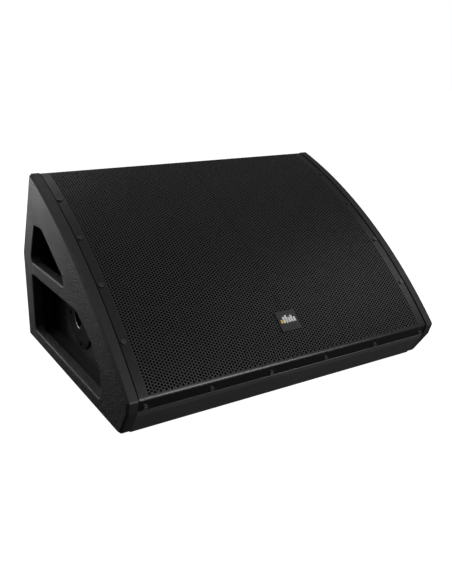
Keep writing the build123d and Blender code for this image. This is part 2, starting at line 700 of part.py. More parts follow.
# ---------------------------------------------------------------- compression driver behind the woofer
HF_FRONT = -128.0
turned("hf_front_plate", (18, HF_FRONT - 7), (18, HF_FRONT), (45, HF_FRONT), (45, HF_FRONT - 7))
turned("hf_magnet", (31, HF_FRONT - 22), (31, HF_FRONT - 7), (45, HF_FRONT - 7), (45, HF_FRONT - 22))
with BuildPart() as hf_phase_plug:
    with BuildSketch(driver_section):
        with Locations((15.4, HF_FRONT - 13.5)):
            Rectangle(30.8, 13)
    revolve(axis=driver_axis)
    with BuildSketch(baffle_face.offset(HF_FRONT - 7)):
        with PolarLocations(6, 6):
            Circle(2)
        with PolarLocations(13, 12):
            Circle(2)
    extrude(amount=-13, mode=Mode.SUBTRACT)
save(hf_phase_plug, "hf_phase_plug")
turned("hf_diaphragm", (0, HF_FRONT - 28), (12, HF_FRONT - 26.5), (22, HF_FRONT - 22), (26, HF_FRONT - 22),
       (26, HF_FRONT - 22.6), (21.6, HF_FRONT - 22.8), (12, HF_FRONT - 27.2), (0, HF_FRONT - 28.8))
turned("hf_clamp_ring", (27, HF_FRONT - 24), (27, HF_FRONT - 22), (45, HF_FRONT - 22), (45, HF_FRONT - 24))
turned("hf_rear_cover", (0, HF_FRONT - 38), (0, HF_FRONT - 35), (41, HF_FRONT - 35), (41, HF_FRONT - 24),
       (45, HF_FRONT - 24), (45, HF_FRONT - 38))

with BuildPart() as driver_terminals:
    with BuildSketch(baffle_face.offset(PLATE_TOP - 8)):
        with Locations((0, 96)):
            Rectangle(36, 12)
    extrude(amount=-14)
    with BuildSketch(baffle_face.offset(PLATE_TOP - 11)):
        with Locations((-10, 104), (10, 104)):
            Rectangle(5, 6)
    extrude(amount=-1)
save(driver_terminals, "driver_terminals")

# ---------------------------------------------------------------- crossover, lining and wiring
BOARD_Y, BOARD_LONG, BOARD_WIDE, BOARD_Z = 165.0, 190.0, 110.0, FLOOR_Z + 8
board_plane = Plane(origin=(0, BOARD_Y, BOARD_Z))
parts_plane = board_plane.offset(1.6)
board_holes = [(x, y) for x in (-88, 88) for y in (-48, 48)]
with BuildPart() as crossover_board:
    with BuildSketch(board_plane):
        Rectangle(BOARD_LONG, BOARD_WIDE)
        with Locations(*board_holes):
            Circle(2.2, mode=Mode.SUBTRACT)
    extrude(amount=1.6)
save(crossover_board, "crossover_board")

with BuildPart() as crossover_standoffs:
    with BuildSketch(Plane(origin=(0, BOARD_Y, FLOOR_Z))):
        with Locations(*board_holes):
            Circle(4.5)
    extrude(amount=8)
    with BuildSketch(board_plane):
        with Locations(*board_holes):
            Circle(2)
    extrude(amount=1.6)
    with BuildSketch(parts_plane):
        with Locations(*board_holes):
            Circle(3.8)
    extrude(amount=2)
save(crossover_standoffs, "crossover_standoffs")

with BuildPart() as crossover_inductors:
    with BuildSketch(parts_plane):
        for x, y, radius in ((-60, 15, 24), (0, 22, 20), (58, 20, 16)):
            with Locations((x, y)):
                Circle(radius)
                Circle(radius * 0.45, mode=Mode.SUBTRACT)
    extrude(amount=22)
save(crossover_inductors, "crossover_inductors")

with BuildPart() as crossover_capacitors:
    for y in (-18, -38):
        for x in (-60, -15):
            with BuildSketch(Plane(origin=(x - 18, BOARD_Y + y, BOARD_Z + 10.6), z_dir=(1, 0, 0))):
                Circle(9)
            extrude(amount=36)
save(crossover_capacitors, "crossover_capacitors")

with BuildPart() as crossover_resistors:
    with BuildSketch(parts_plane):
        with Locations((40, -12), (40, -26), (40, -40)):
            Rectangle(48, 10)
    extrude(amount=9)
save(crossover_resistors, "crossover_resistors")

lining = inward(KINK, APEX, PANEL + 16)
lining_profile = [
    meet(BACK_IN, (slope(0, 60), slope(CHORD, 60))),
    meet(lining, (slope(0, 60), slope(CHORD, 60))),
    meet(lining, (slope(0, 180), slope(CHORD, 180))),
    meet(BACK_IN, (slope(0, 180), slope(CHORD, 180))),
]
board_across("damping_lining", lining_profile, -150, 150)


def wire(name, *route, radius=2.0, bend=18.0):
    """An internal wire along straight runs that are joined by arcs."""
    with BuildPart() as cable:
        with BuildLine() as path:
            FilletPolyline(*route, radius=bend)
        with BuildSketch(Plane(origin=path.line @ 0, z_dir=path.line % 0)):
            Circle(radius)
        sweep()
    save(cable, name)


socket_x = WALL_OUT + PLATE_SHEET - CONNECTOR_DEPTH
socket_y = PLATE_Y + CONNECTOR_SPOTS[1][0]
board_top = BOARD_Z + 1.6
wire(
    "wiring_input",
    (socket_x, socket_y, PLATE_Z),
    (socket_x - 60, socket_y, PLATE_Z),
    (85, 132, PLATE_Z),
    (85, 132, board_top),
)
terminal_tip = baffle_face.offset(PLATE_TOP - 22).from_local_coords(Vector(0, 96, 0))
wire(
    "wiring_woofer",
    (0, terminal_tip.Y, terminal_tip.Z),
    (0, terminal_tip.Y + 30 * SIN, terminal_tip.Z - 30 * COS),
    (28, BOARD_Y + 15, 110),
    (28, BOARD_Y + 15, board_top),
)
cover = baffle_face.offset(HF_FRONT - 38).from_local_coords(Vector(0, 30, 0))
wire(
    "wiring_hf",
    (cover.X, cover.Y, cover.Z),
    (cover.X, cover.Y + 24 * SIN, cover.Z - 24 * COS),
    (74, BOARD_Y - 45, 70),
    (74, BOARD_Y - 45, board_top),
    bend=12,
)
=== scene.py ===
"""Looks of the stage monitor wedge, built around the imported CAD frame. Lengths are in metres."""

from math import asin, cos, hypot, pi, radians, sin, sqrt, tan

import bmesh
import bpy
from mathutils import Matrix, Vector


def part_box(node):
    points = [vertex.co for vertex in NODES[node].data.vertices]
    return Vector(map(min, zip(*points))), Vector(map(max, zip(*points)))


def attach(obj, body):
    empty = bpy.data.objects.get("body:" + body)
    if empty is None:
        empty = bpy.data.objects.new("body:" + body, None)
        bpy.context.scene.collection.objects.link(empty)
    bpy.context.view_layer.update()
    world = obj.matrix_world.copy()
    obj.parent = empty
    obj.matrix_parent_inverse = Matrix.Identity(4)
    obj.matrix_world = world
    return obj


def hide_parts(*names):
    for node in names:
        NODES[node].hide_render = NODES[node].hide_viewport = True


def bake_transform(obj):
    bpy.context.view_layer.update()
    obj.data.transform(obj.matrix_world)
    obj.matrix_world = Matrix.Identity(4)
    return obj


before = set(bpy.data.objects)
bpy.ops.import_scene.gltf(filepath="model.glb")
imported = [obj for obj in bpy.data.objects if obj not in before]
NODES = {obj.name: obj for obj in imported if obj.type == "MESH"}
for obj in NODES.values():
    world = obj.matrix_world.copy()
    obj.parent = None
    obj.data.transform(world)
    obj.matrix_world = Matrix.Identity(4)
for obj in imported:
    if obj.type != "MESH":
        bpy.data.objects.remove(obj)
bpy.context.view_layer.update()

# ---------------------------------------------------------------- side profile, the same as the CAD's
WIDTH = 0.620
NOSE = (-0.276, 0.074)
FLANGE_END = (-0.268, 0.052)
APEX = (0.132, 0.360)
SAGITTA = 0.0318
CHEEK = 0.018
PROUD = 0.0015
SHEET = 0.0015
CHORD = hypot(APEX[0] - NOSE[0], APEX[1] - NOSE[1])
COS = (APEX[0] - NOSE[0]) / CHORD
SIN = (APEX[1] - NOSE[1]) / CHORD
RADIUS = (CHORD**2 / 4 + SAGITTA**2) / (2 * SAGITTA)


def slope(along, depth):
    """Point (y, z) at a distance along the line from nose to apex, and at a depth below it."""
    return (NOSE[0] + along * COS + depth * SIN, NOSE[1] + along * SIN - depth * COS)


def bow(along, below=0.0):
    """Point (y, z) on the bowed front, or on an arc that lies below it."""
    rise = sqrt((RADIUS - below) ** 2 - (along - CHORD / 2) ** 2) - (RADIUS - SAGITTA)
    return slope(along, -rise)


BOW_CENTRE = slope(CHORD / 2, RADIUS - SAGITTA)
OUTLINE = (NOSE, FLANGE_END, (-0.231, 0.003), (0.281, 0.003), (0.248, 0.193), APEX)


def bow_frame(along, below=0.0, x=0.0):
    """Matrix whose Z axis leaves the bowed front at one place and whose Y axis runs up it."""
    y, z = bow(along, below)
    lean = asin(SIN) - asin((along - CHORD / 2) / RADIUS)
    return Matrix.Translation((x, y, z)) @ Matrix.Rotation(lean, 4, "X")


# ---------------------------------------------------------------- materials
class Nodes:
    """Short hands for a material's node tree."""

    def __init__(self, name):
        self.material = bpy.data.materials.new(name)
        self.material.use_nodes = True
        self.tree = self.material.node_tree
        self.shader = self.tree.nodes["Principled BSDF"]
        self.coords = self.tree.nodes.new("ShaderNodeTexCoord")

    def add(self, kind, **values):
        """A node with its inputs and attributes set by name."""
        node = self.tree.nodes.new("ShaderNode" + kind)
        for key, value in values.items():
            label = key.replace("_", " ")
            if label in node.inputs:
                node.inputs[label].default_value = value
            else:
                setattr(node, key, value)
        return node

    def link(self, out, into):
        self.tree.links.new(out, into)

    def noise(self, scale, detail=4.0, roughness=0.55):
        """Noise in the object's own metres."""
        node = self.add("TexNoise", Scale=scale, Detail=detail, Roughness=roughness)
        self.link(self.coords.outputs["Object"], node.inputs["Vector"])
        return node.outputs["Fac"]

    def cells(self, scale, feature="F1"):
        """Distance to the nearest of many scattered points."""
        node = self.add("TexVoronoi", feature=feature, Scale=scale)
        self.link(self.coords.outputs["Object"], node.inputs["Vector"])
        return node.outputs["Distance"]

    def ramp(self, value, low, high, start=0.0, end=1.0):
        """Value moved from the range start..end to low..high."""
        node = self.add("MapRange")
        for label, number in (("From Min", start), ("From Max", end), ("To Min", low), ("To Max", high)):
            node.inputs[label].default_value = number
        self.link(value, node.inputs["Value"])
        return node.outputs["Result"]

    def blend(self, factor, first, second):
        """Mix of two colours."""
        node = self.add("MixRGB")
        node.inputs["Color1"].default_value = (*first, 1)
        node.inputs["Color2"].default_value = (*second, 1)
        self.link(factor, node.inputs["Fac"])
        return node.outputs["Color"]

    def bump(self, height, distance, strength):
        node = self.add("Bump", Distance=distance, Strength=strength)
        self.link(height, node.inputs["Height"])
        return node.outputs["Normal"]

    def finish(self, color, roughness, normal, **constants):
        """Connect the shader; a roughness that is a number is set on the shader's own socket."""
        for key, value in constants.items():
            self.shader.inputs[key.replace("_", " ")].default_value = value
        self.link(color, self.shader.inputs["Base Color"])
        self.link(normal, self.shader.inputs["Normal"])
        if hasattr(roughness, "node"):
            self.link(roughness, self.shader.inputs["Roughness"])
        else:
            self.shader.inputs["Roughness"].default_value = roughness
        return self.material


def textured_paint(name, dark, light):
    """Rolled polyurethane paint: pebbled, charcoal, its fine peaks painted lighter as painted glints, a
    little glossier in broad patches.
    """
    m = Nodes(name)
    pebbles = m.cells(380, "SMOOTH_F1")
    fine = m.noise(700, 3.0)
    patches = m.noise(9, 3.0)
    height = m.add("Math", operation="MULTIPLY_ADD")
    m.link(pebbles, height.inputs[0])
    height.inputs[1].default_value = 0.8
    m.link(fine, height.inputs[2])
    # lighter where the fine grain stands highest: painted glints on the peaks
    peak_glint = m.ramp(fine, 0.0, 1.0, 0.44, 0.62)
    color = m.blend(peak_glint, dark, light)
    rough = m.ramp(patches, 0.36, 0.48, 0.3, 0.7)
    normal = m.bump(height.outputs["Value"], 0.0016, 0.95)
    return m.finish(color, rough, normal, Specular_IOR_Level=0.5)


def smooth_paint(name, dark, light, roughness=(0.42, 0.55)):
    """Black paint over sanded wood, with soft blotches and a trace of grain."""
    m = Nodes(name)
    color = m.blend(m.noise(14), dark, light)
    rough = m.ramp(m.noise(60), *roughness, 0.3, 0.7)
    normal = m.bump(m.noise(700, 2.0), 0.0002, 0.4)
    return m.finish(color, rough, normal, Specular_IOR_Level=0.4)


def powder_coat(name, dark, light, roughness=(0.36, 0.46)):
    """Satin powder coat on steel: a fine orange peel."""
    m = Nodes(name)
    color = m.blend(m.noise(25), dark, light)
    rough = m.ramp(m.noise(80), *roughness, 0.3, 0.7)
    normal = m.bump(m.noise(1300, 2.0), 0.00012, 0.5)
    return m.finish(color, rough, normal, Specular_IOR_Level=0.5)


def metal(name, dark, light, roughness=(0.25, 0.4)):
    """Plated or machined metal with faint turning marks."""
    m = Nodes(name)
    color = m.blend(m.noise(120), dark, light)
    rough = m.ramp(m.noise(400), *roughness, 0.3, 0.7)
    normal = m.bump(m.noise(900, 2.0), 0.00006, 0.3)
    return m.finish(color, rough, normal, Metallic=1.0)


def foam_black(name):
    """Open-cell foam: deep cells between thin walls, the cells painted darker than the walls as painted
    shade.
    """
    m = Nodes(name)
    cells = m.cells(900)
    color = m.blend(m.ramp(cells, 0.0, 1.0, 0.1, 0.7), (0.0012, 0.0012, 0.0012), (0.005, 0.005, 0.005))
    return m.finish(color, 0.95, m.bump(cells, 0.0008, 0.8), Specular_IOR_Level=0.1)


def soft_cloth(name, dark, light, scale=700):
    """Cloth or treated paper with a fibrous surface."""
    m = Nodes(name)
    fibre = m.noise(scale, 6.0, 0.7)
    color = m.blend(m.ramp(fibre, 0.0, 1.0, 0.35, 0.65), dark, light)
    rough = m.ramp(m.noise(50), 0.7, 0.88, 0.3, 0.7)
    return m.finish(color, rough, m.bump(fibre, 0.0003, 0.6), Specular_IOR_Level=0.2)


def moulded(name, dark, light, roughness=(0.45, 0.6)):
    """Moulded plastic or rubber with a fine spark-eroded texture."""
    m = Nodes(name)
    color = m.blend(m.noise(40), dark, light)
    rough = m.ramp(m.noise(150), *roughness, 0.3, 0.7)
    normal = m.bump(m.noise(2200, 2.0), 0.0001, 0.5)
    return m.finish(color, rough, normal, Specular_IOR_Level=0.4)


def birch(name):
    """Bare birch plywood: long grain with soft bands."""
    m = Nodes(name)
    wave = m.add("TexWave", bands_direction="Z", Scale=60.0, Distortion=5.0, Detail=3.0)
    m.link(m.coords.outputs["Object"], wave.inputs["Vector"])
    color = m.blend(wave.outputs["Fac"], (0.42, 0.28, 0.15), (0.60, 0.44, 0.27))
    return m.finish(color, m.ramp(m.noise(90), 0.5, 0.7, 0.3, 0.7), m.bump(wave.outputs["Fac"], 0.0001, 0.3))


PAINT = textured_paint("textured_paint", (0.009, 0.009, 0.0094), (0.042, 0.042, 0.0435))
EDGE_PAINT = smooth_paint("edge_paint", (0.016, 0.016, 0.0165), (0.026, 0.026, 0.027))
PANEL_PAINT = smooth_paint("panel_paint", (0.034, 0.0325, 0.0325), (0.050, 0.048, 0.048), (0.48, 0.6))
# lighter smooth paint for the front panel's rounded edge: a painted highlight
ARRIS_HIGHLIGHT_PAINT = smooth_paint("arris_painted_highlight", (0.10, 0.10, 0.10), (0.16, 0.16, 0.16), (0.35, 0.45))
# a darker copy of the textured paint for the recess walls and the baffle: painted shade
RECESS_SHADE_PAINT = textured_paint("recess_painted_shade", (0.006, 0.006, 0.0065), (0.016, 0.016, 0.017))
# a lighter copy of the grille's powder coat for the punched webs: painted sheen
FIELD_SHEEN_COAT = powder_coat("field_painted_sheen", (0.022, 0.022, 0.0225), (0.032, 0.032, 0.033), (0.34, 0.44))
GRILLE_COAT = powder_coat("grille_coat", (0.0065, 0.0065, 0.0067), (0.0095, 0.0095, 0.0098), (0.29, 0.37))
SOCKET_COAT = powder_coat("socket_coat", (0.003, 0.003, 0.003), (0.005, 0.005, 0.005), (0.35, 0.45))
SCREW_BLACK = metal("black_zinc", (0.08, 0.08, 0.083), (0.14, 0.14, 0.145), (0.3, 0.42))
# a lighter copy of the black zinc for the flange screws: painted glints
GLINT_BLACK_ZINC = metal("black_zinc_painted_glint", (0.30, 0.30, 0.31), (0.44, 0.44, 0.45), (0.3, 0.42))
STEEL = metal("zinc_steel", (0.42, 0.42, 0.43), (0.58, 0.58, 0.59))
CHROME = metal("bright_lip", (0.80, 0.80, 0.80), (0.90, 0.90, 0.90), (0.12, 0.2))
TITANIUM = metal("titanium", (0.42, 0.41, 0.42), (0.52, 0.51, 0.52))
FERRITE = moulded("ferrite", (0.035, 0.035, 0.038), (0.06, 0.06, 0.065), (0.5, 0.65))
CAST = powder_coat("cast_frame", (0.012, 0.012, 0.012), (0.02, 0.02, 0.02), (0.45, 0.6))
RUBBER = moulded("rubber", (0.010, 0.010, 0.010), (0.018, 0.018, 0.018), (0.65, 0.8))
PLASTIC = moulded("black_plastic", (0.010, 0.010, 0.011), (0.018, 0.018, 0.019))
FOAM = foam_black("grille_foam")
PAPER = soft_cloth("cone_paper", (0.012, 0.012, 0.013), (0.030, 0.030, 0.031))
SURROUND = soft_cloth("doped_cloth", (0.008, 0.008, 0.008), (0.018, 0.018, 0.018), 1200)
SPIDER = soft_cloth("spider_cotton", (0.30, 0.18, 0.05), (0.46, 0.30, 0.10), 1200)
WADDING = soft_cloth("wadding", (0.52, 0.51, 0.48), (0.72, 0.71, 0.68), 400)
BIRCH = birch("birch_ply")
COPPER = metal("copper_winding", (0.50, 0.20, 0.08), (0.66, 0.30, 0.13), (0.35, 0.5))
FORMER = moulded("glass_fibre", (0.42, 0.30, 0.14), (0.52, 0.40, 0.22))
BOARD = moulded("circuit_board", (0.015, 0.10, 0.035), (0.025, 0.15, 0.06), (0.3, 0.4))
CAPACITOR = moulded("capacitor_wrap", (0.40, 0.26, 0.03), (0.50, 0.34, 0.05), (0.25, 0.35))
CERAMIC = moulded("ceramic", (0.55, 0.53, 0.48), (0.68, 0.66, 0.60), (0.6, 0.8))

FINISHES = {
    "bottom_panel": PANEL_PAINT,
    "rear_lower_panel": PAINT,
    "rear_upper_panel": PAINT,
    "baffle": RECESS_SHADE_PAINT,
    "left_inner_wall": RECESS_SHADE_PAINT,
    "right_inner_wall": RECESS_SHADE_PAINT,
    "grille_battens": FOAM,
    "baffle_cleats": BIRCH,
    "floor_brace": BIRCH,
    "port_tubes": PLASTIC,
    "pole_socket_screws": SCREW_BLACK,
    "input_plate": GRILLE_COAT,
    "input_plate_screws": SCREW_BLACK,
    "speaker_sockets": PLASTIC,
    "selector_body": PLASTIC,
    "selector_knob": PLASTIC,
    "grille_foam": FOAM,
    "grille_side_screws": SCREW_BLACK,
    # flange screws in the lighter copy of the screws' black zinc: painted glints
    "grille_flange_screws": GLINT_BLACK_ZINC,
    "rubber_feet": RUBBER,
    "foot_screws": STEEL,
    "woofer_basket": CAST,
    "woofer_gasket": RUBBER,
    "woofer_top_plate": STEEL,
    "woofer_magnet": FERRITE,
    "woofer_back_plate": STEEL,
    "hf_throat": PLASTIC,
    "woofer_cone": PAPER,
    "woofer_former": FORMER,
    "woofer_voice_coil": COPPER,
    "woofer_bolts": SCREW_BLACK,
    "woofer_nuts": STEEL,
    "hf_front_plate": STEEL,
    "hf_magnet": FERRITE,
    "hf_phase_plug": PLASTIC,
    "hf_diaphragm": TITANIUM,
    "hf_clamp_ring": STEEL,
    "hf_rear_cover": CAST,
    "driver_terminals": PLASTIC,
    "crossover_board": BOARD,
    "crossover_standoffs": STEEL,
    "crossover_inductors": COPPER,
    "crossover_capacitors": CAPACITOR,
    "crossover_resistors": CERAMIC,
    "damping_lining": WADDING,
    "wiring_input": RUBBER,
    "wiring_woofer": RUBBER,
    "wiring_hf": RUBBER,
}


def coat(obj, *materials):
    """Give an object these material slots and no others."""
    obj.data.materials.clear()
    for material in materials:
        obj.data.materials.append(material)


for name, material in FINISHES.items():
    coat(NODES[name], material)


def coat_by_face(obj, materials, choose):
    """Give each face the material whose index choose(face centre, face normal) returns."""
    coat(obj, *materials)
    for face in obj.data.polygons:
        face.material_index = choose(face.center, face.normal)


def edge_distance(y, z):
    """Distance of a point of the side profile from the profile's outline."""
    far = [RADIUS - hypot(y - BOW_CENTRE[0], z - BOW_CENTRE[1])]
    for (ay, az), (by, bz) in zip(OUTLINE, OUTLINE[1:]):
        length = hypot(by - ay, bz - az)
        far.append(((by - ay) * (z - az) - (bz - az) * (y - ay)) / length)
    return min(far)


FLAT = 0.98  # share of a side's normal that lies across the cabinet
EDGE_BAND = 0.012  # how far the edge's finish reaches in from the outline
BEHIND_GRILLE = 0.06  # above this height the front panel is behind the grille


def cheek_finish(center, normal):
    """Textured paint on the flat sides and in the openings, smooth paint round the outer edge."""
    return 0 if abs(normal.x) > FLAT or edge_distance(center.y, center.z) > EDGE_BAND else 1


def front_finish(center, normal):
    """Paint on the part that shows; the foam's dull black on the panel behind the grille, painted shade seen
    through the holes.
    """
    return 1 if center.z > BEHIND_GRILLE else 0


coat_by_face(NODES["front_panel"], (PANEL_PAINT, FOAM), front_finish)
for side in ("left", "right"):
    coat_by_face(NODES[f"{side}_cheek"], (PAINT, EDGE_PAINT), cheek_finish)

SOCKET_AXIS = (0.074, 0.091)
SOCKET_FACE = -0.263  # outer face of the flange
SOCKET_FLANGE_DEPTH = 0.004
TUBE_SKIN = (0.0195, 0.0212)  # behind the flange, faces between these radii are the tube's outside


def socket_finish(center, normal):
    """Black flange and bore, bright steel outside the tube."""
    from_axis = hypot(center.y - SOCKET_AXIS[0], center.z - SOCKET_AXIS[1])
    behind = center.x > SOCKET_FACE + SOCKET_FLANGE_DEPTH
    return 1 if behind and TUBE_SKIN[0] < from_axis < TUBE_SKIN[1] else 0


coat_by_face(NODES["pole_socket"], (SOCKET_COAT, STEEL), socket_finish)

# ---------------------------------------------------------------- perforated grille
PITCH = 0.00533  # between holes in one column; columns stand PITCH * sqrt(3) / 2 apart
HOLE_RADIUS = 0.00222
RING = 8  # corners of a hole
BORDER_X = 0.276
GRILLE_GAP = 0.0022  # between the grille's side and the cheek
GRILLE_END = 0.0032  # the grille stops this far from the apex
GRILLE_HALF = WIDTH / 2 - CHEEK - GRILLE_GAP
GRILLE_TOP = CHORD - GRILLE_END
FRONT_RADIUS = RADIUS - PROUD
BEND_RADIUS = 0.008
BEND_STEPS = 12
FLANGE_LENGTH = 0.0212
FIELD_LOW, FIELD_HIGH = 0.0006, 0.0012  # least plain sheet below and above the punched field
# Each side of a hexagonal cell and the ring corners that it faces.
CELL_SIDES = ((0, 1, (1, 0)), (1, 2, (3, 2, 1)), (2, 3, (4, 3)), (3, 4, (5, 4)), (4, 5, (7, 6, 5)),
              (5, 0, (0, 7)))


def new_object(name, mesh):
    obj = bpy.data.objects.new(name, mesh)
    bpy.context.collection.objects.link(obj)
    return obj


def chord_to_arc(along):
    """Distance along the bow, from its middle, of the point at this place on the nose-apex line."""
    return FRONT_RADIUS * asin((along - CHORD / 2) / FRONT_RADIUS)


class Sheet:
    """Vertices and faces of the grille, a vertex being shared by every face that names its place."""

    def __init__(self):
        self.verts, self.faces, self.index = [], [], {}

    def at(self, x, travel, below):
        """Vertex on the bowed part, from its place across, its travel along the bow and its depth."""
        key = (round(x * 1e7), round(travel * 1e7), below)
        if key not in self.index:
            angle = travel / FRONT_RADIUS
            along, rise = CHORD / 2 + (RADIUS - below) * sin(angle), (RADIUS - below) * cos(angle)
            y, z = slope(along, RADIUS - SAGITTA - rise)
            self.index[key] = self.place(x, y, z)
        return self.index[key]

    def place(self, x, y, z):
        self.verts.append((x, y, z))
        return len(self.verts) - 1


def grille_field(sheet, low, high):
    """The punched field between two travels; returns its outline's corners, side by side."""
    column_step = PITCH * sqrt(3) / 2
    columns = 2 * int((BORDER_X - PITCH * 0.6) / column_step) + 1
    rows = round((high - low) / PITCH - 0.5)
    row_step = (high - low) / (rows + 0.5)
    spread = PITCH / sqrt(3)
    start = low + row_step / 2
    front, back = PROUD, PROUD + SHEET
    for column in range(columns):
        x0 = (column - (columns - 1) / 2) * column_step
        lift = 0.5 * (column % 2)
        for row in range(rows):
            s0 = start + (row + lift) * row_step
            corners = [
                sheet.at(x0 + spread * cos(k * pi / 3), s0 + row_step / sqrt(3) * sin(k * pi / 3), front)
                for k in range(6)
            ]
            rings = [
                [
                    sheet.at(x0 + HOLE_RADIUS * cos(k * 2 * pi / RING),
                             s0 + HOLE_RADIUS * sin(k * 2 * pi / RING), below)
                    for k in range(RING)
                ]
                for below in (front, back)
            ]
            for first, second, ring in CELL_SIDES:
                sheet.faces.append((corners[first], corners[second], *(rings[0][k] for k in ring)))
            for k in range(RING):
                after = (k + 1) % RING
                sheet.faces.append((rings[0][k], rings[0][after], rings[1][after], rings[1][k]))
    sides = []
    for end, sign in ((0, -1), (columns - 1, 1)):
        x0 = (end - (columns - 1) / 2) * column_step
        lift = 0.5 * (end % 2)
        path = []
        for row in range(rows):
            s0 = start + (row + lift) * row_step
            path += [(x0 + sign * spread / 2, s0 - row_step / 2), (x0 + sign * spread, s0)]
        path.append((x0 + sign * spread / 2, s0 + row_step / 2))
        sides.append(path)
    ends = []
    for row in (0, rows - 1):
        path = []
        for column in range(columns):
            x0 = (column - (columns - 1) / 2) * column_step
            s0 = start + (row + 0.5 * (column % 2)) * row_step + (row_step if row else -row_step) / 2
            path += [(x0 - spread / 2, s0), (x0 + spread / 2, s0)]
        ends.append(path)
    return sides, ends


def band(sheet, inner, outer, flip):
    """Faces between two rows of corners of the same length."""
    for i in range(len(inner) - 1):
        quad = [inner[i], inner[i + 1], outer[i + 1], outer[i]]
        quad = list(dict.fromkeys(quad))
        if len(quad) > 2:
            sheet.faces.append(tuple(quad[::-1] if flip else quad))


def rounded(before, corner, after, radius, steps):
    """Points of an arc that rounds a corner of a line through three points (y, z)."""
    a, b = (Vector(before) - Vector(corner)).normalized(), (Vector(after) - Vector(corner)).normalized()
    half = a.angle(b) / 2
    reach = radius / tan(half)
    middle = Vector(corner) + (a + b).normalized() * radius / sin(half)
    first, last = Vector(corner) + a * reach - middle, Vector(corner) + b * reach - middle
    turn = first.angle(last)
    points = []
    for i in range(steps + 1):
        t = i / steps
        points.append(middle + first * sin((1 - t) * turn) / sin(turn) + last * sin(t * turn) / sin(turn))
    return points


def build_grille():
    """The bent sheet: punched field, plain borders, bend and flange."""
    sheet = Sheet()
    flange = Vector((FLANGE_END[0] - NOSE[0], FLANGE_END[1] - NOSE[1])).normalized()
    out = Vector((flange.y, -flange.x))
    low_point, next_point = Vector(bow(0.001, PROUD)), Vector(bow(0.012, PROUD))
    run = (next_point - low_point).normalized()
    start = Vector(NOSE) - out * PROUD
    gap = low_point - start
    reach = (gap.x * run.y - gap.y * run.x) / (flange.x * run.y - flange.y * run.x)
    corner = start + flange * reach
    bend = rounded(next_point, corner, corner + flange, BEND_RADIUS, BEND_STEPS)
    chord_low = (bend[0] - Vector(NOSE)).dot(Vector((COS, SIN)))
    low, high = chord_to_arc(chord_low), chord_to_arc(GRILLE_TOP)
    sides, ends = grille_field(sheet, low + FIELD_LOW, high - FIELD_HIGH)

    for path, sign in zip(sides, (-1, 1)):
        travels = [low] + [s for _, s in path] + [high]
        inner = [sheet.at(x, s, PROUD) for x, s in [path[0]] + path + [path[-1]]]
        outer = [sheet.at(sign * GRILLE_HALF, s, PROUD) for s in travels]
        rim = [sheet.at(sign * GRILLE_HALF, s, PROUD + SHEET) for s in travels]
        band(sheet, inner, outer, sign > 0)
        band(sheet, outer, rim, sign > 0)
    for path, travel, flip in zip(ends, (low, high), (True, False)):
        xs = [-GRILLE_HALF] + [x for x, _ in path] + [GRILLE_HALF]
        inner = [sheet.at(x, s, PROUD) for x, s in [path[0]] + path + [path[-1]]]
        outer = [sheet.at(x, travel, PROUD) for x in xs]
        band(sheet, inner, outer, flip)
        if travel == high:
            rim = [sheet.at(x, travel, PROUD + SHEET) for x in xs]
            band(sheet, outer, rim, flip)
        else:
            lip = outer
    lip_xs = [sheet.verts[i][0] for i in lip]
    previous = lip
    flange_points = bend[1:] + [corner + flange * FLANGE_LENGTH]
    tail = flange_points[-1] - out * SHEET
    for y, z in flange_points + [tail]:
        row = [sheet.place(x, y, z) for x in lip_xs]
        band(sheet, previous, row, True)
        previous = row
    return sheet


PLAIN_SIDE, PLAIN_BEND, PLAIN_TOP = 0.001, 0.008, 0.003  # margins of the punched field's coat


def grille_finish(center, normal):
    """The punched field has a lighter copy of the grille's coat, a painted sheen on its webs; the plain
    borders, the bend and the flange share the darker one.
    """
    along = (center.y - NOSE[0]) * COS + (center.z - NOSE[1]) * SIN
    across = abs(center.x) < BORDER_X - PLAIN_SIDE
    return 1 if across and PLAIN_BEND < along < GRILLE_TOP - PLAIN_TOP else 0


grille_sheet = build_grille()
for side, sign in (("left", -1), ("right", 1)):
    chosen = [
        face for face in grille_sheet.faces
        if sign * sum(grille_sheet.verts[i][0] for i in face) / len(face) + (1e-7 if sign > 0 else 0) > 0
    ]
    used = sorted({i for face in chosen for i in face})
    renumber = {old: new for new, old in enumerate(used)}
    mesh = bpy.data.meshes.new(f"grille_{side}_half")
    mesh.from_pydata([grille_sheet.verts[i] for i in used], [], [[renumber[i] for i in f] for f in chosen])
    mesh.update()
    piece = new_object(f"grille_{side}_half", mesh)
    coat_by_face(piece, (GRILLE_COAT, FIELD_SHEEN_COAT), grille_finish)
    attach(piece, "cabinet")
    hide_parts("grille")

# ---------------------------------------------------------------- flexible rings and small details
DRIVER_OFFSET, BAFFLE_DEPTH = 0.015, 0.014  # driver's axis past mid-chord; baffle below the chord
DRIVER_Y, DRIVER_Z = slope(CHORD / 2 + DRIVER_OFFSET, BAFFLE_DEPTH)
DRIVER = Matrix(((1, 0, 0, 0), (0, COS, -SIN, DRIVER_Y), (0, SIN, COS, DRIVER_Z), (0, 0, 0, 1)))
SECTORS = 16  # pieces of a ring, each one its own object
SECTOR_STEPS = 6
CONE_REST = 0.006
SPIDER_HEIGHT = -0.066
SPIDER_IN, SPIDER_EDGE, SPIDER_OUT = 0.0388, 0.084, 0.096
SPIDER_WAVES = 5


